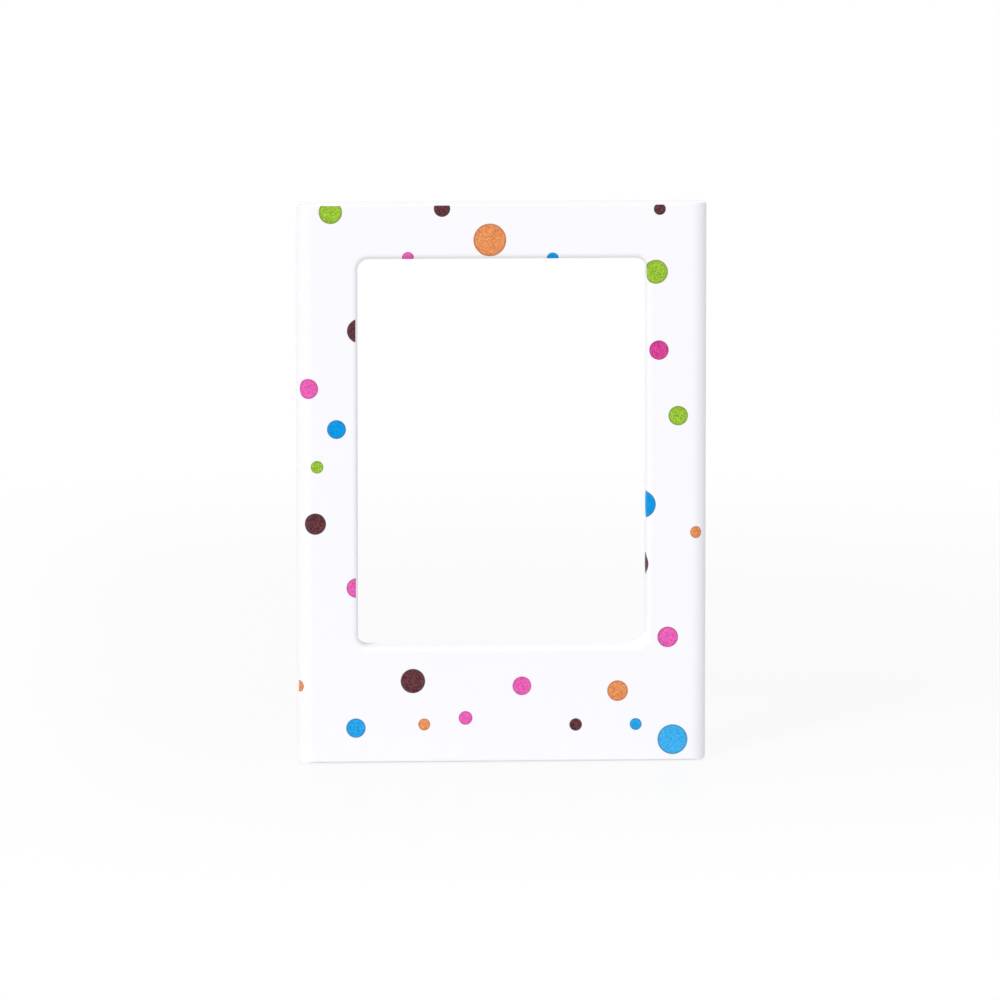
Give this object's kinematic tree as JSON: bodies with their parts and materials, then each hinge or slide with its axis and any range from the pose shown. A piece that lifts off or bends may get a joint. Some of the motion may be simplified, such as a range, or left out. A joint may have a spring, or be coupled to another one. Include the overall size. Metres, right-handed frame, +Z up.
{
  "type": "magnetic photo frame",
  "caption": "Small upright photo frame with a see-through window and a confetti dot print, in moulded halves that disc magnets close round an instant print and hold to steel.",
  "frame": {"origin": "middle of the underside that the frame stands on", "axes": "+Z up, +X to the right as seen from the front, -Y out of the printed face"},
  "size_m": [0.0652, 0.007, 0.0893],
  "materials": {
    "white_plastic": "satin moulded plastic, the front printed with dots",
    "nickel_plate": "bright nickel plating on a sintered magnet"
  },
  "bodies": {
    "front": {"front_frame": "white_plastic", "front_magnet_upper_left": "nickel_plate", "front_magnet_upper_right": "nickel_plate", "front_magnet_lower_left": "nickel_plate", "front_magnet_lower_right": "nickel_plate"},
    "rear": {"rear_frame": "white_plastic", "rear_magnet_upper_left": "nickel_plate", "rear_magnet_upper_right": "nickel_plate", "rear_magnet_lower_left": "nickel_plate", "rear_magnet_lower_right": "nickel_plate"}
  },
  "joints": [
    {"name": "rear_pull", "type": "slide", "parent": "front", "child": "rear", "axis": [0, 1, 0], "range_m": [0, 0.03]}
  ]
}
